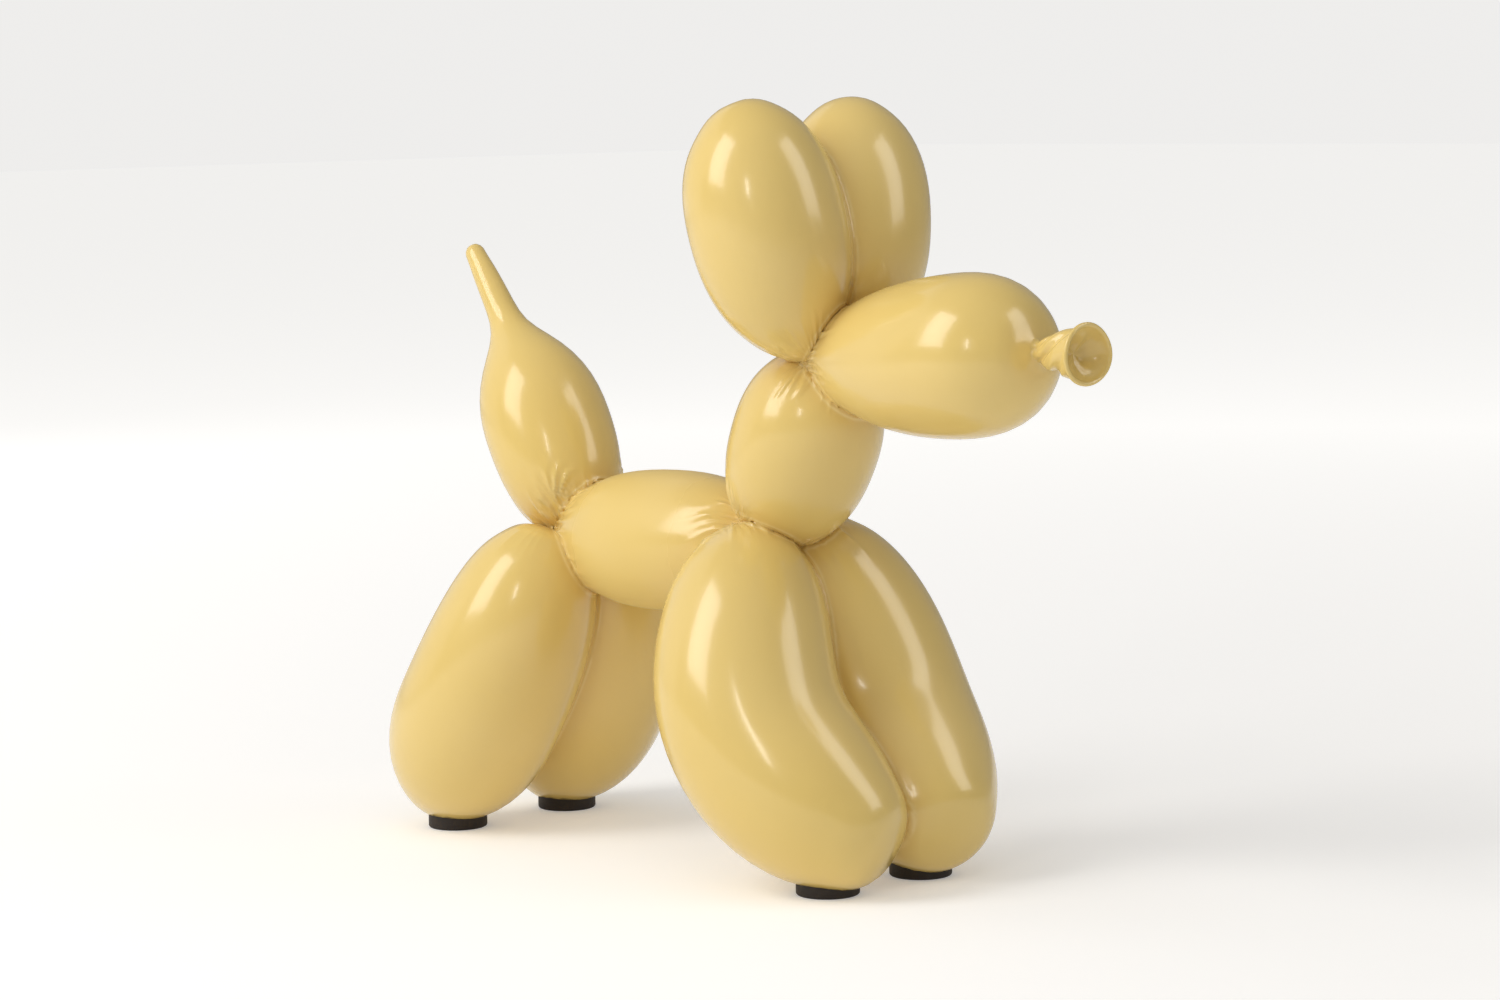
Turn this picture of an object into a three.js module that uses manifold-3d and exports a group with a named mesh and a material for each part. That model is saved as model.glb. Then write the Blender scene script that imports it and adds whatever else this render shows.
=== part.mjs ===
// A balloon dog sculpture: one moulded piece in the form of a dog twisted from a single long
// balloon, standing on four round rubber pads.
// Millimetres. X runs from tail to nose, Y from the dog's right to its left, and Z up from the floor.

import * as THREE from "three";
import { mergeVertices } from "three/addons/utils/BufferGeometryUtils.js";
import Module from "manifold-3d";

// Thickness of each balloon at its fullest
const TORSO_DIAMETER = 88;
const NECK_DIAMETER = 90;
const MUZZLE_DIAMETER = 96;
const EAR_DIAMETER = 94.5;
const FRONT_LEG_DIAMETER = 111;
const REAR_LEG_DIAMETER = 106.5;
const TAIL_DIAMETER = 81;

// Knots, where the balloon is pinched and twisted: place along X and height
const REAR_KNOT = { x: -100, z: 192 };
const FRONT_KNOT = { x: 79, z: 201 };
const HEAD_KNOT = { x: 132, z: 314 };

// The tight twist of the balloon at each knot, drawn out across the dog
const TWIST_DIAMETER = 38;
const TWIST_WIDTH = 46;

// How far the muzzle and the torso taper back past their knots, into the other balloons
const MUZZLE_ROOT_BACK = 28;
const TORSO_ROOT_BACK = 12;

// Ends of the limbs
const MUZZLE_END = { x: 299, z: 325 };
const EAR_END = { x: 98, y: 47, z: 464.5 };
const TAIL_END = { x: -204, z: 374 };
const FRONT_FOOT = { x: 202, y: 26.5 };
const REAR_FOOT = { x: -203, y: 43 };

// The thin, empty end of the tail
const TAIL_TIP_DIAMETER = 12.2;
const TAIL_TIP_FLARE = 10.5;

// The nozzle at the nose: a pinched, twisted cone with a rolled lip round an open mouth
const NOZZLE_LENGTH = 44;
const NOZZLE_ROOT = 4;
const PINCH_DIAMETER = 10;
const CONE_DIAMETER = 25;
const LIP_DIAMETER = 36;
const LIP_THICKNESS = 3.6;
const MOUTH_DEPTH = 14;
const SPIRAL_GROOVES = 3;
const SPIRAL_DEPTH = 1.4;
const SPIRAL_TURN = 1.6;

// Puckers that run out from every knot
const PLEATS = 7;
const PLEAT_DEPTH = 5;
const PLEAT_REACH = 13;

// Rubber pads, let into shallow seats under the feet. The front ones sit a little behind the
// feet's lowest points.
const PAD_DIAMETER = 38;
const PAD_THICKNESS = 9;
const PAD_EDGE = 1.5;
const PAD_CLEARANCE = 0.3;
const FRONT_PAD_BACK = 4;
const FOOT_DIP = 5.5;

// Facets round a balloon, along it, and round a pad
const AROUND = 28;
const ALONG = 12;
const NOZZLE_SIDES = 24;
const TWIST_SIDES = 16;
const PAD_SIDES = 24;

const PAINT = new THREE.MeshStandardMaterial({ color: 0xe8cd8a, roughness: 0.18, metalness: 0 });
const RUBBER = new THREE.MeshStandardMaterial({ color: 0x1b1917, roughness: 0.8, metalness: 0 });

const wasm = await Module();
wasm.setup();

// Fullness of a balloon at share t of its length, from 0 at an end to 1 at its widest.
// A low exponent makes a blunt end, and a high one a pointed end.
const ROUNDNESS = 2.4;

function fullness(t, widest, knotPoint, farPoint) {
  const before = t < widest;
  const away = before ? 1 - t / widest : (t - widest) / (1 - widest);
  return Math.max(0, 1 - away ** ROUNDNESS) ** (before ? knotPoint : farPoint);
}

function balloonRadius({ diameter, widest, knotPoint, farPoint, taper = 0 }) {
  return (t) => (diameter / 2) * (1 + taper * (t - widest)) * fullness(t, widest, knotPoint, farPoint);
}

// The tail is a short balloon that narrows to a thin tip with a round end
function tailRadius(route) {
  const bulbShare = 0.73;
  const roundFrom = 1 - TAIL_TIP_DIAMETER / 2 / route.getLength();
  return (t) => {
    const bulb = (TAIL_DIAMETER / 2) * fullness(Math.min(t / bulbShare, 1), 0.5, 0.42, 0.92);
    const pastRound = Math.max(0, (t - roundFrom) / (1 - roundFrom));
    const tipRadius = (TAIL_TIP_DIAMETER + TAIL_TIP_FLARE * 4 * t * (1 - t)) / 2;
    const tip = tipRadius * Math.sqrt(Math.max(0, 1 - pastRound ** 2));
    return Math.cbrt(bulb ** 3 + tip ** 3);
  };
}

// Depth of the puckers at a place on a balloon: deepest at the knot, and gone a little way out
function pleatDepth(distance, angle) {
  const wave = 0.5 + 0.5 * Math.cos(PLEATS * angle);
  return PLEAT_DEPTH * wave * Math.exp(-distance / PLEAT_REACH);
}

// Distance from a place on a balloon to its nearest knotted end
function knotDistance(t, length, knots) {
  const fromStart = knots.includes("start") ? t * length : Infinity;
  const fromEnd = knots.includes("end") ? (1 - t) * length : Infinity;
  return Math.min(fromStart, fromEnd);
}

// A lathed balloon whose straight axis is then laid along its route
function balloonGeometry(route, radiusAt, knots) {
  const length = route.getLength();
  const outline = [];
  for (let i = 0; i <= ALONG; i++) {
    const t = 0.5 - 0.5 * Math.cos((Math.PI * i) / ALONG);
    const closed = i === 0 || i === ALONG;
    outline.push(new THREE.Vector2(closed ? 0 : radiusAt(t), t));
  }
  const geometry = new THREE.LatheGeometry(outline, AROUND);
  const place = geometry.attributes.position;
  const sideways = new THREE.Vector3(0, 1, 0);
  const point = new THREE.Vector3();
  for (let i = 0; i < place.count; i++) {
    point.fromBufferAttribute(place, i);
    const t = point.y;
    const angle = Math.atan2(point.x, point.z);
    const radius = Math.hypot(point.x, point.z);
    const pleat = Math.min(pleatDepth(knotDistance(t, length, knots), angle), radius * 0.3);
    const tangent = route.getTangent(t);
    const across = new THREE.Vector3().crossVectors(tangent, sideways).normalize();
    const third = new THREE.Vector3().crossVectors(across, tangent);
    route.getPoint(t, point);
    point.addScaledVector(across, (radius - pleat) * Math.sin(angle));
    point.addScaledVector(third, (radius - pleat) * Math.cos(angle));
    place.setXYZ(i, point.x, point.y, point.z);
  }
  return geometry;
}

// A closed three.js geometry as a solid that can be joined and cut
function solid(geometry) {
  const bare = geometry.clone();
  bare.deleteAttribute("normal");
  bare.deleteAttribute("uv");
  const merged = mergeVertices(bare, 1e-4);
  const kept = [];
  const index = merged.index.array;
  for (let i = 0; i < index.length; i += 3) {
    const [a, b, c] = [index[i], index[i + 1], index[i + 2]];
    if (a !== b && b !== c && c !== a) kept.push(a, b, c);
  }
  return new wasm.Manifold(
    new wasm.Mesh({
      numProp: 3,
      vertProperties: new Float32Array(merged.attributes.position.array),
      triVerts: new Uint32Array(kept),
    }),
  );
}

function geometryOf(manifold) {
  const { vertProperties, triVerts } = manifold.getMesh();
  const geometry = new THREE.BufferGeometry();
  geometry.setAttribute("position", new THREE.BufferAttribute(vertProperties, 3));
  geometry.setIndex(new THREE.BufferAttribute(triVerts, 1));
  geometry.computeVertexNormals();
  return geometry;
}

const at = (x, y, z) => new THREE.Vector3(x, y, z);
const rearKnot = at(REAR_KNOT.x, 0, REAR_KNOT.z);
const frontKnot = at(FRONT_KNOT.x, 0, FRONT_KNOT.z);
const headKnot = at(HEAD_KNOT.x, 0, HEAD_KNOT.z);

// A gently bowed route between two points: the bow is how far its middle is pushed aside
function bowed(from, to, bow) {
  const lean = to.clone().sub(from);
  const first = from.clone().addScaledVector(lean, 1 / 3).addScaledVector(bow, 4 / 3);
  const second = from.clone().addScaledVector(lean, 2 / 3).addScaledVector(bow, 4 / 3);
  return new THREE.CubicBezierCurve3(from, first, second, to);
}

function torso() {
  const root = at(rearKnot.x - TORSO_ROOT_BACK, 0, rearKnot.z);
  const route = bowed(root, frontKnot, at(0, 0, -0.03 * TORSO_DIAMETER));
  const shape = { diameter: TORSO_DIAMETER, widest: 0.49, knotPoint: 0.57, farPoint: 0.51 };
  return solid(balloonGeometry(route, balloonRadius(shape), ["start", "end"]));
}

function neck() {
  const route = bowed(frontKnot, headKnot, at(0, 0, 0));
  const shape = { diameter: NECK_DIAMETER, widest: 0.5, knotPoint: 0.5, farPoint: 0.46, taper: 0.11 };
  return solid(balloonGeometry(route, balloonRadius(shape), ["start", "end"]));
}

function twist(knot) {
  const geometry = new THREE.SphereGeometry(TWIST_DIAMETER / 2, TWIST_SIDES, TWIST_SIDES / 2);
  geometry.scale(1, TWIST_WIDTH / TWIST_DIAMETER, 1);
  return solid(geometry.translate(knot.x, knot.y, knot.z));
}

const muzzleEnd = at(MUZZLE_END.x, 0, MUZZLE_END.z);

function muzzle() {
  const root = at(headKnot.x - MUZZLE_ROOT_BACK, 0, headKnot.z);
  const route = bowed(root, muzzleEnd, at(0, 0, -0.04 * MUZZLE_DIAMETER));
  const shape = { diameter: MUZZLE_DIAMETER, widest: 0.68, knotPoint: 0.9, farPoint: 0.42, taper: 0.13 };
  return solid(balloonGeometry(route, balloonRadius(shape), ["start"]));
}

function tail() {
  const route = bowed(rearKnot, at(TAIL_END.x, 0, TAIL_END.z), at(0.1 * TAIL_DIAMETER, 0, 0));
  return solid(balloonGeometry(route, tailRadius(route), ["start"]));
}

// Side is 1 for the dog's left and -1 for its right
function ear(side) {
  const width = EAR_DIAMETER;
  const root = at(headKnot.x, side * 0.17 * width, headKnot.z);
  const tip = at(EAR_END.x, side * EAR_END.y, EAR_END.z);
  const rise = tip.z - root.z;
  const low = at(root.x - 0.18 * width, side * 0.36 * width, root.z + rise / 3);
  const high = at(tip.x + 0.2 * width, side * 0.39 * width, root.z + (rise * 2) / 3);
  const route = new THREE.CubicBezierCurve3(root, low, high, tip);
  const shape = { diameter: width, widest: 0.53, knotPoint: 0.63, farPoint: 0.49 };
  return solid(balloonGeometry(route, balloonRadius(shape), ["start"]));
}

// The lowest point of a round limb, which is where it stands
function soleOf(route, radiusAt) {
  const steps = 400;
  const low = new THREE.Vector3(0, 0, Infinity);
  for (let step = steps / 2; step < steps; step++) {
    const t = step / steps;
    const down = at(0, 0, -1).projectOnPlane(route.getTangent(t)).normalize();
    const point = route.getPoint(t).addScaledVector(down, radiusAt(t));
    if (point.z < low.z) low.copy(point);
  }
  return low;
}

// A leg whose round sole would dip FOOT_DIP below the top of its pad, before its seat is cut.
// Its route takes the height of its end, which is found in a few steps.
function leg(routeTo, shape) {
  const wanted = PAD_THICKNESS - FOOT_DIP;
  const radiusAt = balloonRadius(shape);
  let footHeight = wanted + shape.diameter / 8;
  for (let step = 0; step < 6; step++) {
    footHeight += wanted - soleOf(routeTo(footHeight), radiusAt).z;
  }
  const route = routeTo(footHeight);
  return { body: solid(balloonGeometry(route, radiusAt, ["start"])), sole: soleOf(route, radiusAt) };
}

function frontLeg(side) {
  const width = FRONT_LEG_DIAMETER;
  const root = at(frontKnot.x - 0.07 * width, side * 0.165 * width, frontKnot.z);
  const routeTo = (footHeight) => {
    const drop = root.z - footHeight;
    const shoulder = at(root.x + 0.44 * width, side * 0.45 * width, root.z - drop / 3);
    const knee = at(root.x + 0.04 * width, side * 0.635 * width, root.z - (drop * 2) / 3);
    const foot = at(FRONT_FOOT.x, side * FRONT_FOOT.y, footHeight);
    return new THREE.CubicBezierCurve3(root, shoulder, knee, foot);
  };
  const shape = { diameter: width, widest: 0.72, knotPoint: 0.31, farPoint: 0.33, taper: -0.08 };
  return leg(routeTo, shape);
}

function rearLeg(side) {
  const width = REAR_LEG_DIAMETER;
  const root = at(rearKnot.x + 0.02 * width, side * 0.25 * width, rearKnot.z + 0.05 * width);
  const routeTo = (footHeight) => {
    const drop = root.z - footHeight;
    const hip = at(root.x - 0.13 * width, side * 0.41 * width, root.z - drop / 3);
    const hock = at(root.x - 0.44 * width, side * 0.48 * width, root.z - (drop * 2) / 3);
    const foot = at(REAR_FOOT.x, side * REAR_FOOT.y, footHeight);
    return new THREE.CubicBezierCurve3(root, hip, hock, foot);
  };
  const shape = { diameter: width, widest: 0.65, knotPoint: 0.35, farPoint: 0.55 };
  return leg(routeTo, shape);
}

// The nozzle's outline from its root inside the muzzle, over the lip and down into the mouth
function nozzleOutline() {
  const lip = LIP_THICKNESS / 2;
  const lipCentre = new THREE.Vector2(LIP_DIAMETER / 2 - lip, NOZZLE_LENGTH - lip);
  const throat = NOZZLE_LENGTH - MOUTH_DEPTH;
  const outside = new THREE.SplineCurve([
    new THREE.Vector2(PINCH_DIAMETER * 0.8, -NOZZLE_ROOT),
    new THREE.Vector2(PINCH_DIAMETER / 2, NOZZLE_ROOT),
    new THREE.Vector2((PINCH_DIAMETER + CONE_DIAMETER) / 4, NOZZLE_LENGTH * 0.32),
    new THREE.Vector2(CONE_DIAMETER / 2, NOZZLE_LENGTH * 0.64),
    new THREE.Vector2(lipCentre.x, lipCentre.y - lip * 1.4),
  ]).getPoints(9);
  const rolled = [];
  for (let degrees = -50; degrees <= 170; degrees += 55) {
    const turn = THREE.MathUtils.degToRad(degrees);
    rolled.push(new THREE.Vector2(lip * Math.cos(turn), lip * Math.sin(turn)).add(lipCentre));
  }
  const inside = new THREE.QuadraticBezierCurve(
    new THREE.Vector2(lipCentre.x - lip * 1.3, lipCentre.y - lip * 0.8),
    new THREE.Vector2(CONE_DIAMETER / 4, NOZZLE_LENGTH - MOUTH_DEPTH * 0.55),
    new THREE.Vector2(0, throat),
  ).getPoints(4);
  return [new THREE.Vector2(0, -NOZZLE_ROOT), ...outside, ...rolled, ...inside];
}

// Grooves that wind round the cone between the pinch and the flare of the lip
function nozzle() {
  const geometry = new THREE.LatheGeometry(nozzleOutline(), NOZZLE_SIDES);
  const place = geometry.attributes.position;
  const throat = NOZZLE_LENGTH - MOUTH_DEPTH;
  for (let i = 0; i < place.count; i++) {
    const along = place.getY(i);
    const radius = Math.hypot(place.getX(i), place.getZ(i));
    const angle = Math.atan2(place.getX(i), place.getZ(i));
    const onCone = Math.max(0, Math.sin((Math.PI * along) / NOZZLE_LENGTH));
    const outer = along < throat ? 1 : 0;
    const wave = 0.5 + 0.5 * Math.cos(SPIRAL_GROOVES * (angle + (SPIRAL_TURN * along) / NOZZLE_LENGTH));
    const cut = SPIRAL_DEPTH * onCone * outer * wave;
    const scale = radius > cut * 3 ? 1 - cut / radius : 1;
    place.setXYZ(i, place.getX(i) * scale, along, place.getZ(i) * scale);
  }
  geometry.rotateZ(-Math.PI / 2);
  geometry.translate(muzzleEnd.x - NOZZLE_ROOT, 0, muzzleEnd.z - NOZZLE_ROOT / 2);
  return solid(geometry);
}

// A round pad with a rounded lower edge, standing on the floor
function padGeometry() {
  const radius = PAD_DIAMETER / 2;
  const outline = [
    new THREE.Vector2(0, 0),
    new THREE.Vector2(radius - PAD_EDGE, 0),
    new THREE.Vector2(radius - PAD_EDGE * 0.3, PAD_EDGE * 0.3),
    new THREE.Vector2(radius, PAD_EDGE),
    new THREE.Vector2(radius, PAD_THICKNESS),
    new THREE.Vector2(0, PAD_THICKNESS),
  ];
  const geometry = mergeVertices(new THREE.LatheGeometry(outline, PAD_SIDES).deleteAttribute("uv"));
  return geometry.rotateX(Math.PI / 2);
}

// The seat that a foot has for its pad, with room for the pad all round and above it
function seat() {
  const radius = PAD_DIAMETER / 2 + PAD_CLEARANCE;
  const top = PAD_THICKNESS + PAD_CLEARANCE;
  const depth = PAD_DIAMETER;
  const geometry = new THREE.CylinderGeometry(radius, radius, depth, PAD_SIDES);
  return solid(geometry.rotateX(Math.PI / 2).translate(0, 0, top - depth / 2));
}

const SIDES = [
  { name: "left", side: 1 },
  { name: "right", side: -1 },
];
const ENDS = [
  { name: "front", build: frontLeg, padBack: FRONT_PAD_BACK },
  { name: "rear", build: rearLeg, padBack: 0 },
];

let dog = torso().add(neck()).add(muzzle()).add(tail()).add(nozzle());
for (const knot of [rearKnot, frontKnot, headKnot]) {
  dog = dog.add(twist(knot));
}
const pads = [];
for (const { name: sideName, side } of SIDES) {
  dog = dog.add(ear(side));
  for (const { name: endName, build, padBack } of ENDS) {
    const { body, sole } = build(side);
    dog = dog.add(body);
    pads.push({ name: `foot_pad_${endName}_${sideName}`, x: sole.x - padBack, y: sole.y });
  }
}
for (const { x, y } of pads) {
  dog = dog.subtract(seat().translate([x, y, 0]));
}

const sculpture = new THREE.Group();
const body = new THREE.Mesh(geometryOf(dog), PAINT.clone());
body.name = "balloon_dog_body";
sculpture.add(body);
for (const { name, x, y } of pads) {
  const pad = new THREE.Mesh(padGeometry(), RUBBER.clone());
  pad.name = name;
  pad.position.set(x, y, 0);
  sculpture.add(pad);
}

// The origin is on the floor, under the middle of the whole sculpture
const extent = new THREE.Box3().setFromObject(sculpture);
sculpture.position.x = -(extent.min.x + extent.max.x) / 2;
sculpture.position.y = -(extent.min.y + extent.max.y) / 2;

export default sculpture;
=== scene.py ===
import math

import bmesh
import bpy
import numpy as np
from mathutils import Matrix, Vector


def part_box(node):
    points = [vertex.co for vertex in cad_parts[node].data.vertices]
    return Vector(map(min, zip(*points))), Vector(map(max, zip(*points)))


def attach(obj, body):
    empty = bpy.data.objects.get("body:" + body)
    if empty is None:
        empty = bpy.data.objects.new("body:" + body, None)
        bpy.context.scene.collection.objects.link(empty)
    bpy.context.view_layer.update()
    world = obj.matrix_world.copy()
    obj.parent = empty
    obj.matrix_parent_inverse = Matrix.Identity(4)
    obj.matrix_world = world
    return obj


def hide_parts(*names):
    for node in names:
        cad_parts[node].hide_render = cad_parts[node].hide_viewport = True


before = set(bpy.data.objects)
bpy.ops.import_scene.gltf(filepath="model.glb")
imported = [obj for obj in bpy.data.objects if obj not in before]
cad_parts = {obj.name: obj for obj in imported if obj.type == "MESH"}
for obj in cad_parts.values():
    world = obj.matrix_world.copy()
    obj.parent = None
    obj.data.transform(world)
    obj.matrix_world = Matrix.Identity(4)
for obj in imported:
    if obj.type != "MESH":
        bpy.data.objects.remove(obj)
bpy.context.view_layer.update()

# A balloon dog sculpture, moulded in one piece and painted glossy cream, on four rubber pads.
# Sizes are in millimetres until a mesh is made, and X runs from tail to nose.

MM = 0.001

# Balloons at their fullest
TORSO_DIAMETER = 88
NECK_DIAMETER = 90
MUZZLE_DIAMETER = 96
EAR_DIAMETER = 94.5
FRONT_LEG_DIAMETER = 111
REAR_LEG_DIAMETER = 106.5
TAIL_DIAMETER = 81

# Ends of the balloons
REAR_KNOT = np.array([-100.0, 0, 192])
FRONT_KNOT = np.array([79.0, 0, 201])
HEAD_KNOT = np.array([132.0, 0, 314])
MUZZLE_END = np.array([299.0, 0, 325])
EAR_END = np.array([98.0, 47, 464.5])
TAIL_END = np.array([-204.0, 0, 374])
FRONT_FOOT = np.array([202.0, 26.5, 0])
REAR_FOOT = np.array([-203.0, 43, 0])

TWIST_DIAMETER = 38
TWIST_WIDTH = 46
TAIL_TIP_DIAMETER = 12.2
TAIL_TIP_FLARE = 10.5

# The open nozzle at the nose
NOZZLE_LENGTH = 44
NOZZLE_ROOT = 4
PINCH_DIAMETER = 10
CONE_DIAMETER = 25
LIP_DIAMETER = 36
LIP_THICKNESS = 2.8
MOUTH_DEPTH = 14

# Pads and the seats for them
PAD_THICKNESS = 9
PAD_CLEARANCE = 0.3
FOOT_DIP = 5.5
EDGE_ROUNDING = 1.6
RING_INSET = 3
RING_WIDTH = 1.2
RING_DEPTH = 0.4

# The muzzle and torso taper back past their knots
MUZZLE_ROOT_BACK = 28
TORSO_ROOT_BACK = 12

# Gathers of the skin round each knot, and the short ridges that leave each pinch
FOLD_HEIGHT = 1.9
HOLLOW_DEPTH = 0.9
SEAM_SOFTNESS = 5
SEAM_SPREAD = 7
PINCH_RIDGE = 2.7
SMALL_RIDGE = 1.8

# Mesh rings along each balloon. They lie close together as far as the gathers reach from a knot.
RINGS_ALONG = 54
GATHERS_REACH = 52
NOZZLE_RINGS = 90

# The part's own origin lies under its middle, and the lip of the nozzle is its foremost edge
_, body_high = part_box("balloon_dog_body")
SHIFT = np.array([body_high[0] / MM - (MUZZLE_END[0] - NOZZLE_ROOT + NOZZLE_LENGTH), 0, 0])
PAD_NODES = [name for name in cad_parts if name.startswith("foot_pad_")]


def out_of_edit_mode():
    if bpy.context.mode != "OBJECT":
        bpy.ops.object.mode_set(mode="OBJECT")
    bpy.ops.object.select_all(action="DESELECT")


def make_active(piece):
    out_of_edit_mode()
    piece.select_set(True)
    bpy.context.view_layer.objects.active = piece


def apply_modifier(piece, kind, **settings):
    make_active(piece)
    modifier = piece.modifiers.new(kind.lower(), kind)
    for name, value in settings.items():
        setattr(modifier, name, value)
    bpy.ops.object.modifier_apply(modifier=modifier.name)


def read_points(piece):
    points = np.empty(len(piece.data.vertices) * 3)
    piece.data.vertices.foreach_get("co", points)
    return points.reshape(-1, 3)


def write_points(piece, points):
    piece.data.vertices.foreach_set("co", np.ascontiguousarray(points).ravel())
    piece.data.update()


def face_outwards(piece):
    make_active(piece)
    bpy.ops.object.mode_set(mode="EDIT")
    bpy.ops.mesh.select_all(action="SELECT")
    bpy.ops.mesh.normals_make_consistent(inside=False)
    bpy.ops.object.mode_set(mode="OBJECT")


def add_ball(name, around, along):
    out_of_edit_mode()
    bpy.ops.mesh.primitive_uv_sphere_add(segments=around, ring_count=along, radius=1)
    ball = bpy.context.active_object
    ball.name = name
    return ball


def ring_numbers(points, along):
    """The ring, counted from the top pole, on which each point of a fresh ball lies."""
    return np.rint(np.arccos(np.clip(points[:, 2], -1, 1)) / math.pi * along).astype(int)


# Balloons

# How square-shouldered a balloon is: 2 is an ellipse
ROUNDNESS = 2.4


def fullness(t, widest, knot_point, far_point):
    """Share of a balloon's radius at share t of its length: 0 at its ends and 1 at its widest."""
    t = np.clip(t, 0, 1)
    away = np.where(t < widest, 1 - t / widest, (t - widest) / (1 - widest))
    point = np.where(t < widest, knot_point, far_point)
    return np.maximum(1 - away**ROUNDNESS, 0) ** point


class Balloon:
    """One bubble of the twisted balloon: a round skin about a curved middle line."""

    def __init__(self, name, route, diameter, widest, knot_point, far_point,
                 knots, folds, reach, seed, taper=0.0, around=184):
        self.name = name
        self.route = np.array(route, dtype=float)
        self.diameter = diameter
        self.shape = (widest, knot_point, far_point)
        self.taper = taper
        self.knots = knots
        self.pinches = []
        self.reach = reach
        self.around = around
        chance = np.random.default_rng(seed)
        self.fold_heights = FOLD_HEIGHT * (0.3 + 0.7 * chance.uniform(size=folds))
        self.fold_reaches = reach * (0.5 + 0.7 * chance.uniform(size=folds) ** 1.5)
        self.drift = chance.uniform(0, 2 * math.pi, size=4)
        self.stations = np.linspace(0, 1, 401)
        steps = self.middle(self.stations)
        self.length = np.linalg.norm(np.diff(steps, axis=0), axis=1).sum()
        # The radius averaged over a tenth of the length to either side, weighted as a bell curve
        neighbours = 40
        bell = np.exp(-np.linspace(-2.5, 2.5, 2 * neighbours + 1) ** 2 / 2)
        plain = np.pad(self.plain_radius(self.stations), neighbours, mode="edge")
        self.eased_radius = np.convolve(plain, bell / bell.sum(), mode="valid")

    def middle(self, t):
        """Points on the middle line at shares t of its length."""
        t = np.asarray(t, dtype=float)[:, None]
        a, b, c, d = self.route
        return (1 - t) ** 3 * a + 3 * (1 - t) ** 2 * t * b + 3 * (1 - t) * t**2 * c + t**3 * d

    def heading(self, t):
        t = np.asarray(t, dtype=float)[:, None]
        a, b, c, d = self.route
        along = (1 - t) ** 2 * (b - a) + 2 * (1 - t) * t * (c - b) + t**2 * (d - c)
        return along / np.linalg.norm(along, axis=1)[:, None]

    def plain_radius(self, t):
        widest = self.shape[0]
        return self.diameter / 2 * (1 + self.taper * (t - widest)) * fullness(t, *self.shape)

    def radius(self, t):
        """The plain radius, eased away from the ends so that reflections run smoothly along it."""
        t = np.clip(t, 0, 1)
        end_share = 0.12
        away_from_ends = np.clip(np.minimum(t, 1 - t) / end_share, 0, 1)
        ease = away_from_ends**2 * (3 - 2 * away_from_ends)
        eased = np.interp(t, self.stations, self.eased_radius)
        return (1 - ease) * self.plain_radius(t) + ease * eased

    def knot_distance(self, t):
        """Distance from the middle line at t to the nearest knot that the balloon runs into."""
        middle = self.middle(t)
        apart = [np.linalg.norm(middle - knot, axis=1) for knot in self.knots]
        return np.min(apart, axis=0)

    def gathers(self, t, angle):
        """Height of the folds that run out from the knots, each of its own height and length."""
        one, two, three, four = self.drift
        distance = self.knot_distance(t)
        folds = len(self.fold_heights)
        warped = angle + 0.09 * np.sin(3 * angle + one) + 0.05 * np.sin(5 * angle + two)
        turn = folds * warped / (2 * math.pi)
        fold = np.rint(turn).astype(int) % folds
        crest = (0.5 + 0.5 * np.cos(2 * math.pi * turn)) ** 3
        spent = np.clip(distance / self.fold_reaches[fold], 0, 1)
        ridges = self.fold_heights[fold] * crest * (1 - spent**3) ** 1.5
        dip = 0.5 - 0.5 * np.cos(9 * angle + 1.3 * np.sin(2 * angle + three) + four)
        dips = HOLLOW_DEPTH * dip * np.exp(-((distance / (0.7 * self.reach)) ** 2))
        return ridges - dips

    def skin(self, t, angle):
        """Points on the skin, with its gathers and with the ridges of every pinch nearby."""
        tangent = self.heading(t)
        across = np.cross(tangent, [0.0, 1.0, 0.0])
        across /= np.linalg.norm(across, axis=1)[:, None]
        third = np.cross(across, tangent)
        radius = self.radius(t)
        fade = np.clip(radius / (0.3 * self.diameter), 0, 1)
        radius = np.maximum(radius + fade * self.gathers(t, angle), 0)
        outward = across * np.cos(angle)[:, None] + third * np.sin(angle)[:, None]
        points = self.middle(t) + radius[:, None] * outward
        for pinch in self.pinches:
            points = points + (fade * pinch.ridge(points))[:, None] * outward
        return points

    def ring_places(self):
        """Shares of the length at which the rings of the mesh lie: close together in the gathers."""
        distance = self.knot_distance(self.stations)
        in_gathers = 1 / (1 + np.exp((distance - GATHERS_REACH) / 4))
        to_end = np.minimum(self.stations, 1 - self.stations) * self.length
        close = 0.38 + in_gathers + 1.5 * np.exp(-to_end / 6) + 0.5 * np.exp(-to_end / 20)
        run = np.concatenate([[0], np.cumsum((close[1:] + close[:-1]) / 2)])
        return np.interp(np.linspace(0, run[-1], RINGS_ALONG + 1), run, self.stations)

    def mesh(self):
        """A ball drawn out along the middle line and blown up to the balloon's radius."""
        ball = add_ball(self.name, self.around, RINGS_ALONG)
        points = read_points(ball)
        t = self.ring_places()[ring_numbers(points, RINGS_ALONG)]
        angle = np.arctan2(points[:, 1], points[:, 0])
        write_points(ball, self.skin(t, angle))
        face_outwards(ball)
        return ball

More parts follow.
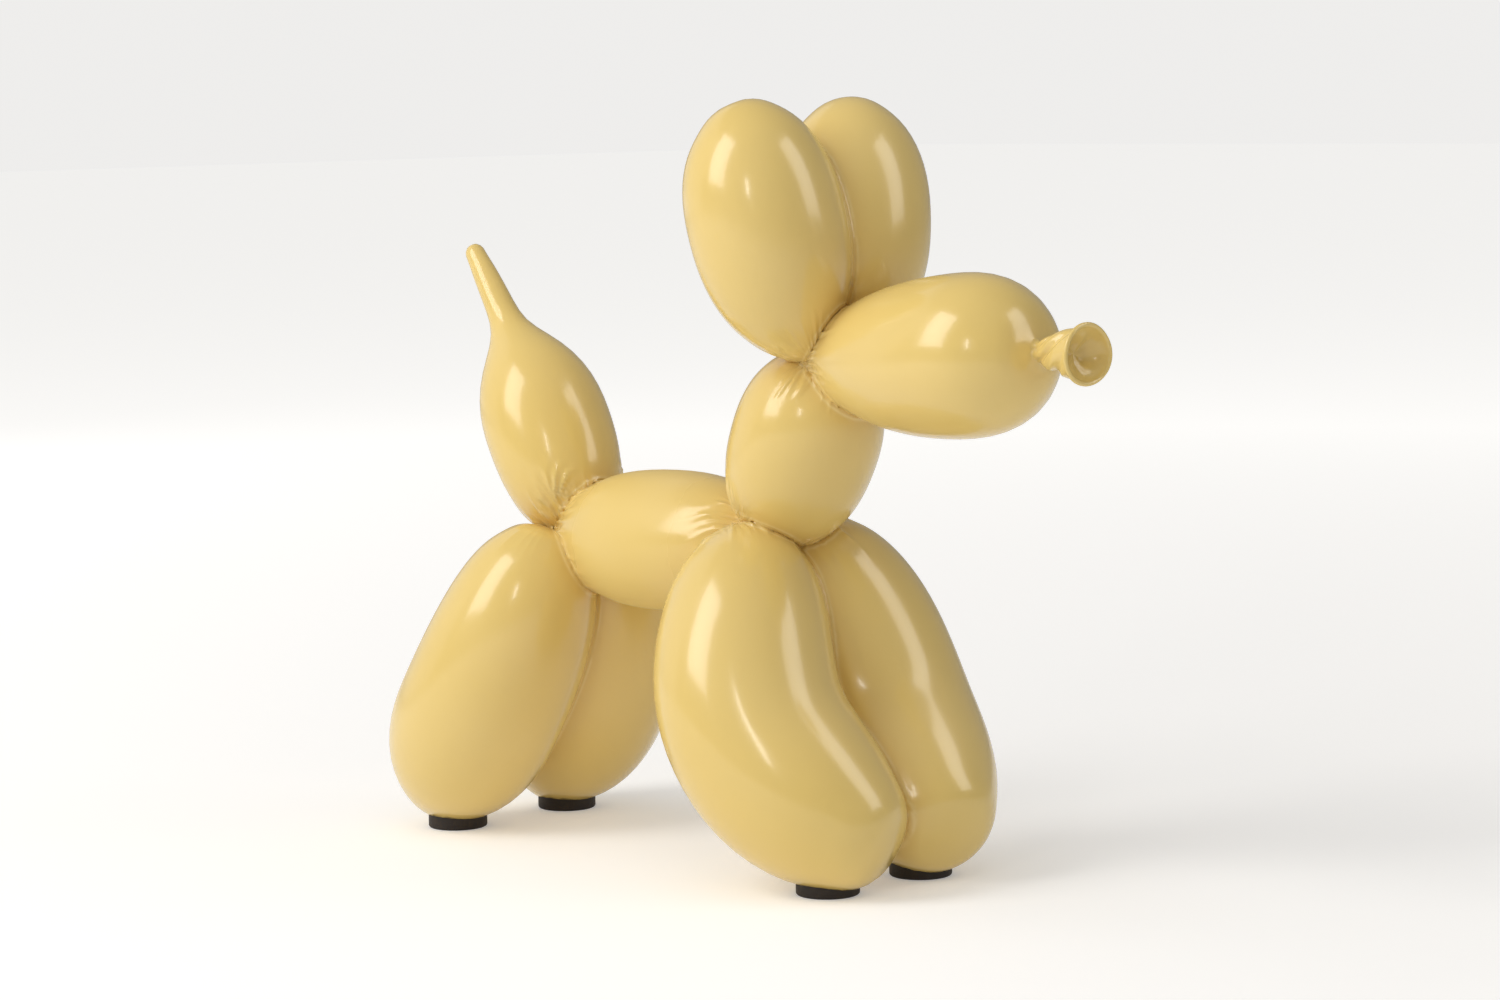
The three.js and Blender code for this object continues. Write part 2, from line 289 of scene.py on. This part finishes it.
    def gap(self, points):
        """Distance of points from the skin without its folds, and the way straight out of it."""
        stations = np.linspace(0, 1, 160)
        middles = self.middle(stations)
        nearest = np.empty(len(points), dtype=int)
        at_once = 8000
        for first in range(0, len(points), at_once):
            some = points[first:first + at_once]
            apart = ((some[:, None] - middles[None]) ** 2).sum(axis=2)
            nearest[first:first + at_once] = apart.argmin(axis=1)
        t = stations[nearest]
        tangent = self.heading(t)
        t = np.clip(t + ((points - middles[nearest]) * tangent).sum(axis=1) / self.length, 0, 1)
        spoke = points - self.middle(t)
        apart = np.linalg.norm(spoke, axis=1)
        small = 1e-3
        slope = (self.radius(t + small) - self.radius(t - small)) / (2 * small * self.length)
        steepest = 3
        slope = np.clip(slope, -steepest, steepest)
        lean = np.sqrt(1 + slope**2)
        outward = spoke / np.maximum(apart, 1e-6)[:, None] - slope[:, None] * self.heading(t)
        return (apart - self.radius(t)) / lean, outward / lean[:, None]

    def sole(self):
        """The lowest point of the skin."""
        t = np.linspace(0.5, 1, 400)
        tangent = self.heading(t)
        down = np.array([0, 0, -1.0]) + tangent * tangent[:, 2:3]
        down /= np.linalg.norm(down, axis=1)[:, None]
        points = self.middle(t) + self.radius(t)[:, None] * down
        return points[points[:, 2].argmin()]


class Pinch:
    """A place where skins meet, with sharp ridges that run out from it, longer towards one side."""

    def __init__(self, place, away, favoured, ridges, reach, height, seed):
        self.place = np.array(place, dtype=float)
        away = np.array(away, dtype=float)
        away /= np.linalg.norm(away)
        self.favoured = np.array(favoured) / np.linalg.norm(favoured)
        self.level = np.cross(away, [0.2, 0.3, 1.0])
        self.level /= np.linalg.norm(self.level)
        self.upward = np.cross(self.level, away)
        chance = np.random.default_rng(seed)
        self.heights = height * (0.3 + 0.7 * chance.uniform(size=ridges))
        self.reaches = reach * (0.65 + 0.35 * chance.uniform(size=ridges))
        self.drift = chance.uniform(0, 2 * math.pi, size=2)
        self.shallow, self.half_way = 0.16 * height, 0.4 * reach

    def ridge(self, points):
        """How far the skin stands out: the ridges, less a shallow hollow that they all share."""
        offset = points - self.place
        distance = np.linalg.norm(offset, axis=1)
        angle = np.arctan2(offset @ self.upward, offset @ self.level)
        uneven = 0.16 * np.sin(3 * angle + self.drift[0])
        wandering = 0.12 * np.sin(distance / 7 + self.drift[1])
        angle = angle + uneven + wandering
        ridges = len(self.heights)
        turn = ridges * angle / (2 * math.pi)
        each = np.rint(turn).astype(int) % ridges
        crest = (0.5 + 0.5 * np.cos(2 * math.pi * turn)) ** 1.9
        rise = np.clip(distance / 6, 0, 1)
        towards = np.clip(offset @ self.favoured / np.maximum(distance, 1e-6), 0, 1)
        spent = np.clip(distance / (self.reaches[each] * (0.4 + 0.6 * towards)), 0, 1)
        valley = self.shallow * np.exp(-((distance / self.half_way) ** 2))
        return rise * (self.heights[each] * crest * (1 - spent**3) ** 1.5 - valley)


class Tail(Balloon):
    """A short bubble that ends in the balloon's thin, empty tip."""

    def plain_radius(self, t):
        t = np.clip(t, 0, 1)
        bulb_share = 0.73
        bulb = self.diameter / 2 * fullness(np.minimum(t / bulb_share, 1), *self.shape)
        round_from = 1 - TAIL_TIP_DIAMETER / 2 / self.length
        past = np.clip((t - round_from) / (1 - round_from), 0, 1)
        tip = (TAIL_TIP_DIAMETER + TAIL_TIP_FLARE * 4 * t * (1 - t)) / 2 * np.sqrt(1 - past**2)
        closed = np.clip(t / 0.01, 0, 1)
        return np.cbrt(bulb**3 + (closed * tip) ** 3)


def bowed(start, end, bow):
    """A route from start to end whose middle lies off the straight line by bow."""
    lean = end - start
    push = np.array(bow) * 4 / 3
    return [start, start + lean / 3 + push, start + lean * 2 / 3 + push, end]


def leg(name, side, root, share_one, share_two, foot, shape):
    """A leg whose sole dips into its pad. Shares are of the leg's thickness: ahead and aside."""
    width = shape["diameter"]
    wanted = PAD_THICKNESS - FOOT_DIP
    foot_height = wanted + width / 8
    tries = 6
    for _ in range(tries):
        drop = root[2] - foot_height
        one = [root[0] + share_one[0] * width, share_one[1] * width, root[2] - drop / 3]
        two = [root[0] + share_two[0] * width, share_two[1] * width, root[2] - drop * 2 / 3]
        end = [foot[0], foot[1], foot_height]
        route = np.array([root, one, two, end]) * [1, side, 1]
        made = Balloon(name, route, **shape)
        foot_height += wanted - made.sole()[2]
    return made


def front_leg(side, seed):
    width = FRONT_LEG_DIAMETER
    root = [FRONT_KNOT[0] - 0.07 * width, 0.165 * width, FRONT_KNOT[2]]
    shape = dict(diameter=width, widest=0.72, knot_point=0.31, far_point=0.33, taper=-0.08,
                 knots=(FRONT_KNOT,), folds=32, reach=40, seed=seed)
    return leg("front_leg", side, root, (0.44, 0.45), (0.04, 0.635), FRONT_FOOT, shape)


def rear_leg(side, seed):
    width = REAR_LEG_DIAMETER
    root = [REAR_KNOT[0] + 0.02 * width, 0.25 * width, REAR_KNOT[2] + 0.05 * width]
    shape = dict(diameter=width, widest=0.65, knot_point=0.35, far_point=0.55,
                 knots=(REAR_KNOT,), folds=30, reach=34, seed=seed)
    return leg("rear_leg", side, root, (-0.13, 0.41), (-0.44, 0.48), REAR_FOOT, shape)


def ear(side, seed):
    width = EAR_DIAMETER
    root = np.array([HEAD_KNOT[0], side * 0.17 * width, HEAD_KNOT[2]])
    tip = EAR_END * [1, side, 1]
    rise = tip[2] - root[2]
    low = [root[0] - 0.18 * width, side * 0.36 * width, root[2] + rise / 3]
    high = [tip[0] + 0.2 * width, side * 0.39 * width, root[2] + rise * 2 / 3]
    return Balloon("ear", [root, low, high, tip], width, widest=0.53, knot_point=0.63, far_point=0.49,
                   knots=(HEAD_KNOT,), folds=34, reach=46, seed=seed)


def all_balloons():
    """Every balloon, each with folds of its own and with the pinches that its skin may touch."""
    torso_root = REAR_KNOT - [TORSO_ROOT_BACK, 0, 0]
    torso = Balloon("torso", bowed(torso_root, FRONT_KNOT, [0, 0, -0.03 * TORSO_DIAMETER]),
                    TORSO_DIAMETER, widest=0.49, knot_point=0.57, far_point=0.51,
                    knots=(REAR_KNOT, FRONT_KNOT), folds=30, reach=40, seed=13, around=232)
    neck = Balloon("neck", bowed(FRONT_KNOT, HEAD_KNOT, [0, 0, 0]),
                   NECK_DIAMETER, widest=0.5, knot_point=0.5, far_point=0.46, taper=0.11,
                   knots=(FRONT_KNOT, HEAD_KNOT), folds=32, reach=20, seed=21, around=232)
    muzzle_root = HEAD_KNOT - [MUZZLE_ROOT_BACK, 0, 0]
    muzzle = Balloon("muzzle", bowed(muzzle_root, MUZZLE_END, [0, 0, -0.04 * MUZZLE_DIAMETER]),
                     MUZZLE_DIAMETER, widest=0.68, knot_point=0.9, far_point=0.42, taper=0.13,
                     knots=(HEAD_KNOT,), folds=32, reach=30, seed=34, around=216)
    tail = Tail("tail", bowed(REAR_KNOT, TAIL_END, [0.1 * TAIL_DIAMETER, 0, 0]),
                TAIL_DIAMETER, widest=0.5, knot_point=0.42, far_point=0.92,
                knots=(REAR_KNOT,), folds=24, reach=36, seed=55, around=216)
    limbs = [torso, neck, muzzle, tail]
    # Between the ears, and below the neck between the front legs
    crown, breast = [15, 0, 38], [28, 0, -2]
    pinches = [Pinch(HEAD_KNOT + crown, away=[0.4, 0, 1], favoured=[1, 0, 0.4],
                     ridges=18, reach=24, height=1.5, seed=71),
               Pinch(FRONT_KNOT + breast, away=[1, 0, 0.3], favoured=[0, 0, 1],
                     ridges=14, reach=20, height=1.0, seed=73)]
    for side, seed in ((1, 3), (-1, 8)):
        limbs += [ear(side, seed), front_leg(side, seed + 1), rear_leg(side, seed + 2)]
        shoulder, rump, thigh = [8, 32 * side, 13], [4, 26 * side, 19], [12, 36 * side, 2]
        jaw = [-3, 34 * side, 1]
        back, up, down = [-1, 0, 0], [0.4, 0, 1], [1, 0, -0.9]
        pinches += [Pinch(FRONT_KNOT + shoulder, [0.1, side, 0.2], back, 30, 68, PINCH_RIDGE, seed),
                    Pinch(REAR_KNOT + rump, [0, side, 0.2], up, 24, 34, PINCH_RIDGE, seed + 20),
                    Pinch(REAR_KNOT + thigh, [0.1, side, 0.2], up, 22, 20, SMALL_RIDGE, seed + 60),
                    Pinch(HEAD_KNOT + jaw, [0, side, 0], down, 26, 40, PINCH_RIDGE, seed + 40)]
    for limb in limbs:
        limb.pinches = pinches
    nose = Pinch(MUZZLE_END, away=[1, 0, 0], favoured=[0, -1, 0],
                 ridges=15, reach=22, height=1.9, seed=72)
    muzzle.pinches = pinches + [nose]
    return limbs


def twist(knot):
    """The tightly wound rubber at a knot, folded lengthways."""
    ball = add_ball("twist", 72, 24)
    points = read_points(ball)
    angle = np.arctan2(points[:, 0], points[:, 2])
    pinch = 1 - 0.07 * (0.5 + 0.5 * np.cos(9 * angle + 3 * points[:, 1]))
    size = np.array([TWIST_DIAMETER, TWIST_WIDTH, TWIST_DIAMETER]) / 2
    write_points(ball, points * size * pinch[:, None] + knot)
    return ball


# The nozzle

def smooth_line(corners, steps):
    """A smooth curve through corners, evenly stepped by its own length."""
    corners = np.array(corners, dtype=float)
    padded = np.vstack([2 * corners[0] - corners[1], corners, 2 * corners[-1] - corners[-2]])
    line = []
    for a, b, c, d in zip(padded, padded[1:], padded[2:], padded[3:]):
        u = np.linspace(0, 1, 24, endpoint=False)[:, None]
        line.append(0.5 * (2 * b + (c - a) * u + (2 * a - 5 * b + 4 * c - d) * u**2
                           + (3 * b - a - 3 * c + d) * u**3))
    line = np.vstack(line + [corners[-1:]])
    run = np.concatenate([[0], np.cumsum(np.linalg.norm(np.diff(line, axis=0), axis=1))])
    wanted = np.linspace(0, run[-1], steps)
    return np.stack([np.interp(wanted, run, line[:, k]) for k in (0, 1)], axis=1)


def nozzle_outline(steps):
    """Radius and place along the axis, from the hidden root over the lip and into the mouth."""
    lip = LIP_THICKNESS / 2
    lip_radius = LIP_DIAMETER / 2 - lip
    lip_place = NOZZLE_LENGTH - lip
    outside = [
        (0, -NOZZLE_ROOT),
        (1.3 * PINCH_DIAMETER, -NOZZLE_ROOT),
        (0.84 * PINCH_DIAMETER, 0.5 * NOZZLE_ROOT),
        (0.6 * PINCH_DIAMETER, 1.5 * NOZZLE_ROOT),
        ((PINCH_DIAMETER + CONE_DIAMETER) / 3.7, 0.32 * NOZZLE_LENGTH),
        (CONE_DIAMETER / 1.9, 0.62 * NOZZLE_LENGTH),
        (0.88 * lip_radius, lip_place - 2.8 * lip),
    ]
    rolled = []
    for degrees in range(-60, 181, 40):
        turn = math.radians(degrees)
        rolled.append((lip_radius + lip * math.cos(turn), lip_place + lip * math.sin(turn)))
    inside = [
        (lip_radius - 1.8 * lip, lip_place - 1.5 * lip),
        (0.68 * lip_radius, NOZZLE_LENGTH - 0.5 * MOUTH_DEPTH),
        (0.36 * lip_radius, NOZZLE_LENGTH - 0.8 * MOUTH_DEPTH),
        (0, NOZZLE_LENGTH - 0.92 * MOUTH_DEPTH),
    ]
    return smooth_line(outside + rolled + inside, steps)


def nozzle():
    """A twisted cone that opens into a thin rolled lip. Sharp folds wind round it."""
    ball = add_ball("nozzle", 120, NOZZLE_RINGS)
    points = read_points(ball)
    outline = nozzle_outline(NOZZLE_RINGS + 1)
    ring = ring_numbers(points, NOZZLE_RINGS)
    radius = outline[ring, 0]
    along = outline[ring, 1]
    angle = np.arctan2(points[:, 1], points[:, 0])
    outer = ring < outline[:, 1].argmax()
    share = np.clip(along / NOZZLE_LENGTH, 0, 1)
    on_cone = np.sin(math.pi * np.clip((share - 0.04) / 0.86, 0, 1)) ** 0.8
    winding = 3.6
    wound = angle + winding * share
    deep = (0.5 + 0.5 * np.cos(4 * wound + 0.7 * np.sin(2 * angle))) ** 2.5
    fine = (0.5 + 0.5 * np.cos(12 * wound + np.sin(3 * angle))) ** 2
    radius = radius + outer * on_cone * (0.8 - 2.8 * deep - 0.3 * fine)
    in_mouth = (~outer) * np.clip((NOZZLE_LENGTH - 3 - along) / 5, 0, 1)
    swirl = np.cos(2 * angle - 5 * share + 1) + 0.6 * np.cos(5 * angle - 9 * share)
    along = along + in_mouth * 1.2 * swirl * np.clip(radius / 8, 0, 1)
    radius = np.where(outline[ring, 0] < 1e-6, 0, np.maximum(radius, 0.5))
    radius = radius * (1 + 0.02 * np.cos(3 * angle + 0.8) * np.clip((share - 0.8) / 0.2, 0, 1))
    # The mouth turns a little aside, towards the near side
    aside = 0.11 * np.clip((along - NOZZLE_ROOT) / NOZZLE_LENGTH, 0, 1)
    across = radius * np.cos(angle)
    placed = np.stack([along + across * aside, across - 0.5 * along * aside,
                       radius * np.sin(angle)], axis=1)
    placed += MUZZLE_END + [-NOZZLE_ROOT, 0, -NOZZLE_ROOT / 2]
    write_points(ball, placed)
    face_outwards(ball)
    return ball


# The moulded body

def two_nearest(points, balloons):
    """How much further off the second nearest balloon's skin is, and the ways out of the two."""
    gaps = []
    ways = []
    for balloon in balloons:
        gap, way = balloon.gap(points)
        gaps.append(gap)
        ways.append(way)
    gaps = np.array(gaps)
    ways = np.array(ways)
    first, second = np.argsort(np.abs(gaps), axis=0)[:2]
    each = np.arange(len(points))
    apart = np.abs(gaps[second, each] - gaps[first, each])
    return apart, ways[first, each], ways[second, each]


def soften_seams(points, balloons):
    """Fills each seam between two balloons with a small round."""
    apart, way, other_way = two_nearest(points, balloons)
    share = np.maximum(SEAM_SOFTNESS - apart, 0) / SEAM_SOFTNESS
    out = (1 - share / 2)[:, None] * way + (share / 2)[:, None] * other_way
    steep = np.maximum((out**2).sum(axis=1), 0.3)
    fill = share**2 * SEAM_SOFTNESS / 4 / steep
    return points + fill[:, None] * out


def seam_nearness(points, balloons):
    """1 in a seam between two balloons, falling to 0 away from it."""
    apart, _, _ = two_nearest(points, balloons)
    return np.exp(-apart / SEAM_SPREAD)


def cut_seats(body):
    """A shallow round seat in each foot, which the pad fills but for its clearance."""
    for name in PAD_NODES:
        low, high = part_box(name)
        centre = (np.array(low) + np.array(high)) / 2 / MM
        radius = (high[0] - low[0]) / 2 / MM + PAD_CLEARANCE
        top = high[2] / MM + PAD_CLEARANCE
        out_of_edit_mode()
        bpy.ops.mesh.primitive_cylinder_add(
            vertices=96, radius=radius, depth=2 * radius,
            location=(centre[0], centre[1], top - radius))
        cutter = bpy.context.active_object
        apply_modifier(body, "BOOLEAN", operation="DIFFERENCE", solver="MANIFOLD", object=cutter)
        bpy.data.objects.remove(cutter)


def moulded_body(material):
    """All balloons, twists and the nozzle as one closed skin."""
    balloons = all_balloons()
    parts = [balloon.mesh() for balloon in balloons]
    parts += [twist(knot) for knot in (REAR_KNOT, FRONT_KNOT, HEAD_KNOT)]
    parts.append(nozzle())
    body = parts[0]
    rest = bpy.data.collections.new("joined_balloons")
    for part in parts[1:]:
        rest.objects.link(part)
    apply_modifier(body, "BOOLEAN", operation="UNION", solver="MANIFOLD",
                   operand_type="COLLECTION", collection=rest)
    for part in parts[1:]:
        bpy.data.objects.remove(part)
    bpy.data.collections.remove(rest)
    write_points(body, soften_seams(read_points(body), balloons) + SHIFT)
    cut_seats(body)
    write_points(body, read_points(body) * MM)
    body.name = "balloon_dog"
    body.data.name = "balloon_dog"
    seam = body.data.attributes.new("seam", "FLOAT", "POINT")
    nearness = seam_nearness(read_points(body) / MM - SHIFT, balloons)
    seam.data.foreach_set("value", nearness.astype(np.float32))
    face_outwards(body)
    bpy.ops.object.shade_smooth()
    body.data.materials.clear()
    body.data.materials.append(material)
    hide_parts("balloon_dog_body")
    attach(body, "root")


# Rubber pads

def select_faces(piece, wanted):
    """Selects the faces that a test picks, in edit mode."""
    mesh = bmesh.from_edit_mesh(piece.data)
    for face in mesh.faces:
        face.select_set(False)
    for face in mesh.faces:
        if wanted(face):
            face.select_set(True)
    mesh.select_flush_mode()
    bmesh.update_edit_mesh(piece.data)


def foot_pad(node, material):
    """A turned rubber bumper with a rounded lower edge and a ring pressed into its sole."""
    low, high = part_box(node)
    low, high = Vector(low), Vector(high)
    radius = (high.x - low.x) / 2
    out_of_edit_mode()
    bpy.ops.mesh.primitive_cylinder_add(vertices=96, radius=radius, depth=high.z - low.z,
                                        location=(low + high) / 2)
    pad = bpy.context.active_object
    pad.name = node + "_rubber"
    make_active(pad)
    bpy.ops.object.transform_apply(location=True, rotation=True, scale=True)
    bpy.ops.object.mode_set(mode="EDIT")
    bpy.ops.mesh.select_mode(type="FACE")
    select_faces(pad, lambda face: face.normal.z < -0.9)
    bpy.ops.mesh.bevel(offset=EDGE_ROUNDING * MM, offset_type="OFFSET", segments=5, affect="EDGES")
    select_faces(pad, lambda face: face.normal.z < -0.99 and face.calc_center_median().z < 0.1 * MM)
    bpy.ops.mesh.inset(thickness=RING_INSET * MM, depth=0)
    bpy.ops.mesh.inset(thickness=RING_WIDTH * MM, depth=-RING_DEPTH * MM)
    bpy.ops.mesh.inset(thickness=RING_WIDTH * MM, depth=RING_DEPTH * MM)
    bpy.ops.object.mode_set(mode="OBJECT")
    bpy.ops.object.shade_smooth_by_angle(angle=math.radians(40))
    pad.data.materials.clear()
    pad.data.materials.append(material)
    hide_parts(node)
    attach(pad, "root")


# Materials

class Signal:
    """A shader socket that can be used in sums."""

    def __init__(self, finish, socket):
        self.finish = finish
        self.socket = socket

    def math(self, operation, *values):
        return self.finish.node("ShaderNodeMath", {"operation": operation}, *values)

    def __add__(self, other):
        return self.math("ADD", self, other)

    def __radd__(self, other):
        return self.math("ADD", other, self)

    def __sub__(self, other):
        return self.math("SUBTRACT", self, other)

    def __rsub__(self, other):
        return self.math("SUBTRACT", other, self)

    def __mul__(self, other):
        return self.math("MULTIPLY", self, other)

    def __rmul__(self, other):
        return self.math("MULTIPLY", other, self)

    def __truediv__(self, other):
        return self.math("DIVIDE", self, other)

    def __pow__(self, other):
        return self.math("POWER", self, other)

    def within(self, low, high):
        return self.math("MINIMUM", self.math("MAXIMUM", self, low), high)


class Finish:
    """A material and its nodes."""

    def __init__(self, name):
        self.material = bpy.data.materials.new(name)
        self.material.use_nodes = True
        self.tree = self.material.node_tree
        self.shader = self.tree.nodes["Principled BSDF"]
        self.place = self.node("ShaderNodeTexCoord", {}, output="Object")

    def node(self, kind, settings, *values, output=0, **named):
        made = self.tree.nodes.new(kind)
        for name, value in settings.items():
            setattr(made, name, value)
        for key, value in list(enumerate(values)) + list(named.items()):
            self.feed(made.inputs[key], value)
        return Signal(self, made.outputs[output])

    def math(self, operation, *values):
        return self.node("ShaderNodeMath", {"operation": operation}, *values)

    def feed(self, socket, value):
        if isinstance(value, Signal):
            self.tree.links.new(value.socket, socket)
        else:
            socket.default_value = value

    def noise(self, size, detail):
        """Noise whose patches are about this size in millimetres."""
        return self.node("ShaderNodeTexNoise", {}, output="Fac", Vector=self.place,
                         Scale=1 / (size * MM), Detail=detail)

    def along(self, axis):
        """Place along X, Y or Z."""
        return self.node("ShaderNodeSeparateXYZ", {}, self.place, output="XYZ".index(axis))

    def mix(self, share, one, two):
        """A colour that is one at share 0 and two at share 1."""
        made = self.tree.nodes.new("ShaderNodeMix")
        made.data_type = "RGBA"
        self.feed(made.inputs["Factor"], share)
        self.feed(made.inputs[6], one)
        self.feed(made.inputs[7], two)
        return Signal(self, made.outputs[2])

    def bump(self, height, depth):
        """Raises the surface by up to this many millimetres."""
        return self.node("ShaderNodeBump", {}, output="Normal", Height=height, Distance=depth * MM)

    def set(self, **values):
        for name, value in values.items():
            self.feed(self.shader.inputs[name.replace("_", " ")], value)


def cream_paint():
    """Glossy cream paint with painted shade in the seams, a deeper ochre, a painted highlight of
    paler cream along some seam edges, and a slight orange peel.
    """
    paint = Finish("cream_gloss_paint")
    seam = paint.node("ShaderNodeAttribute", {"attribute_name": "seam"}, output="Fac")
    broad = paint.noise(90, detail=1)
    patches = paint.noise(22, detail=3)
    peel = paint.noise(2.6, detail=2)
    waves = paint.noise(34, detail=1)
    # A painted highlight: the paint is paler cream here and there along the edge of a seam, at this
    # nearness to it
    edge_nearness = 0.66
    from_edge = (seam - edge_nearness) * 11
    edge = paint.math("EXPONENT", from_edge * from_edge * -1) * (patches * 2.4 - 0.8).within(0, 0.4)
    cream = (0.81, 0.605, 0.22, 1)
    deep = (0.77, 0.56, 0.165, 1)
    # Painted shade in the seams: a deeper ochre
    painted_seam_shade = (0.68, 0.44, 0.11, 1)
    # Painted highlight along the seam edges: a paler cream
    painted_highlight_cream = (0.92, 0.76, 0.38, 1)
    tone = paint.mix((broad * 1.4 - 0.2).within(0, 1), cream, deep)
    # Painted shade: near a seam the colour turns towards the ochre of the painted seam shade. The
    # same share also makes the paint a little rougher there.
    seam_shade_and_dullness = (seam**2 * (0.55 + 0.5 * patches)).within(0, 0.75)
    # The trunk is duller, where hands lift the dog. Here places are in metres.
    trunk_place, trunk_underside = -0.08, 0.145
    lengthways = paint.math("ABSOLUTE", paint.along("X") - trunk_place)
    above = paint.along("Z") - trunk_underside
    held = (1.4 - lengthways * 26).within(0, 1) * (above * 60).within(0, 1)
    paint.set(
        Base_Color=paint.mix(edge, paint.mix(seam_shade_and_dullness, tone, painted_seam_shade), painted_highlight_cream),
        Roughness=(0.19 + 0.07 * patches + 0.08 * seam_shade_and_dullness + 0.2 * held).within(0.1, 0.5),
        Coat_Weight=0.45 - 0.4 * held,
        Coat_Roughness=0.12,
        IOR=1.48,
        Normal=paint.bump(peel * 0.16 + waves * 1.4, 0.22),
    )
    return paint.material


def black_rubber():
    """Matt brown-black rubber with a fine grain and a little dust."""
    rubber = Finish("black_rubber")
    grain = rubber.noise(0.9, detail=3)
    dust = rubber.noise(7, detail=4)
    dusty = ((dust - 0.5) * 2.2).within(0, 1)
    rubber.set(
        Base_Color=rubber.mix(dusty, (0.017, 0.0105, 0.008, 1), (0.04, 0.029, 0.022, 1)),
        Roughness=(0.5 + 0.25 * grain + 0.15 * dusty).within(0, 1),
        Normal=rubber.bump(grain, 0.12),
    )
    return rubber.material


# Floor, light and camera

def pale_floor():
    """A pale floor that glows: faintly onto the sculpture, lighting it from below, and more brightly
    to the eye, where the glow is lifted towards white with distance, in metres.
    """
    out_of_edit_mode()
    bpy.ops.mesh.primitive_plane_add(size=40)
    floor = bpy.context.active_object
    floor.name = "floor"
    matt = Finish("pale_floor")
    away = matt.node("ShaderNodeVectorMath", {"operation": "LENGTH"}, matt.place, output="Value")
    lift_starts, lift_run = 0.5, 2.6
    far = ((away - lift_starts) / lift_run).within(0, 1)
    seen = matt.node("ShaderNodeLightPath", {}, output="Is Camera Ray")
    to_the_eye = matt.mix(far, (0.27, 0.27, 0.275, 1), (0.64, 0.635, 0.625, 1))
    matt.set(Base_Color=(0.84, 0.835, 0.82, 1), Roughness=0.9,
             Emission_Color=matt.mix(seen, (0.17, 0.17, 0.17, 1), to_the_eye),
             Emission_Strength=1)
    floor.data.materials.append(matt.material)


def direction(azimuth, elevation):
    """From the sculpture towards a light. Azimuth 0 looks along +Y, as for the camera."""
    turn, rise = math.radians(azimuth), math.radians(elevation)
    level = math.cos(rise)
    return Vector((math.sin(turn) * level, -math.cos(turn) * level, math.sin(rise)))


def softbox(name, azimuth, elevation, distance, width, height, radiance, lights=True, shines=True):
    """A rectangular lamp, in metres and degrees. It may only light the paint, or only shine in it."""
    centre = Vector((0, 0, 0.24))
    lamp = bpy.data.lights.new(name, "AREA")
    lamp.shape = "RECTANGLE"
    lamp.size = width
    lamp.size_y = height
    lamp.energy = radiance * width * height * math.pi
    lamp.color = (1, 0.975, 0.94)
    holder = bpy.data.objects.new(name, lamp)
    bpy.context.collection.objects.link(holder)
    holder.visible_diffuse = lights
    holder.visible_glossy = shines
    way = direction(azimuth, elevation)
    holder.location = centre + way * distance
    holder.rotation_euler = way.to_track_quat("Z", "Y").to_euler()


def studio():
    world = bpy.data.worlds.new("studio")
    bpy.context.scene.world = world
    world.use_nodes = True
    nodes, links = world.node_tree.nodes, world.node_tree.links
    sky = nodes["Background"]
    sky.inputs["Color"].default_value = (1, 0.99, 0.975, 1)
    seen = nodes.new("ShaderNodeLightPath")
    strength = nodes.new("ShaderNodeMapRange")
    glow_on_the_dog, glow_to_the_eye = 0.28, 0.86
    strength.inputs["To Min"].default_value = glow_on_the_dog
    strength.inputs["To Max"].default_value = glow_to_the_eye
    links.new(seen.outputs["Is Camera Ray"], strength.inputs["Value"])
    links.new(strength.outputs["Result"], sky.inputs["Strength"])
    softbox("left_softbox", -21, 34.5, 3.2, 1.5, 2.45, 4.75)
    softbox("right_strip", 118, 34, 3.2, 1.25, 2.5, 3.1, lights=False)
    softbox("right_fill", 125, 45, 3.2, 1.5, 1.9, 0.9, shines=False)
    softbox("small_lamp", 28, 20, 2.2, 0.12, 0.45, 14)
    softbox("top_light", 20, 68, 2.8, 3.4, 3.0, 0.74, shines=False)
    softbox("left_wall", -80, 24, 2.6, 3.2, 2.6, 0.42)
    bpy.context.scene.view_settings.view_transform = "Standard"


def camera():
    """The photograph's view: how far round and up the camera stands, and where it points."""
    far, round_angle, height = 2.488, 0.836, 0.4764
    heading, tilt, roll = 0.820, 0.103, -0.017
    focal_pixels, picture_width = 4034, 1500
    data = bpy.data.cameras.new("camera")
    data.sensor_width = 36
    data.lens = focal_pixels * data.sensor_width / picture_width
    data.clip_end = 60
    eye = bpy.data.objects.new("camera", data)
    bpy.context.collection.objects.link(eye)
    ahead = Vector((-math.sin(heading) * math.cos(tilt),
                    math.cos(heading) * math.cos(tilt),
                    -math.sin(tilt)))
    level = Vector((math.cos(heading), math.sin(heading), 0))
    above = level.cross(ahead)
    right = level * math.cos(roll) + above * math.sin(roll)
    up = above * math.cos(roll) - level * math.sin(roll)
    turn = Matrix((right, up, -ahead)).transposed().to_4x4()
    place = Vector((far * math.sin(round_angle) + SHIFT[0] * MM,
                    -far * math.cos(round_angle),
                    height))
    eye.matrix_world = Matrix.Translation(place) @ turn
    bpy.context.scene.camera = eye


pale_floor()
studio()
camera()
moulded_body(cream_paint())
rubber = black_rubber()
for pad_node in PAD_NODES:
    foot_pad(pad_node, rubber)

bpy.context.view_layer.update()
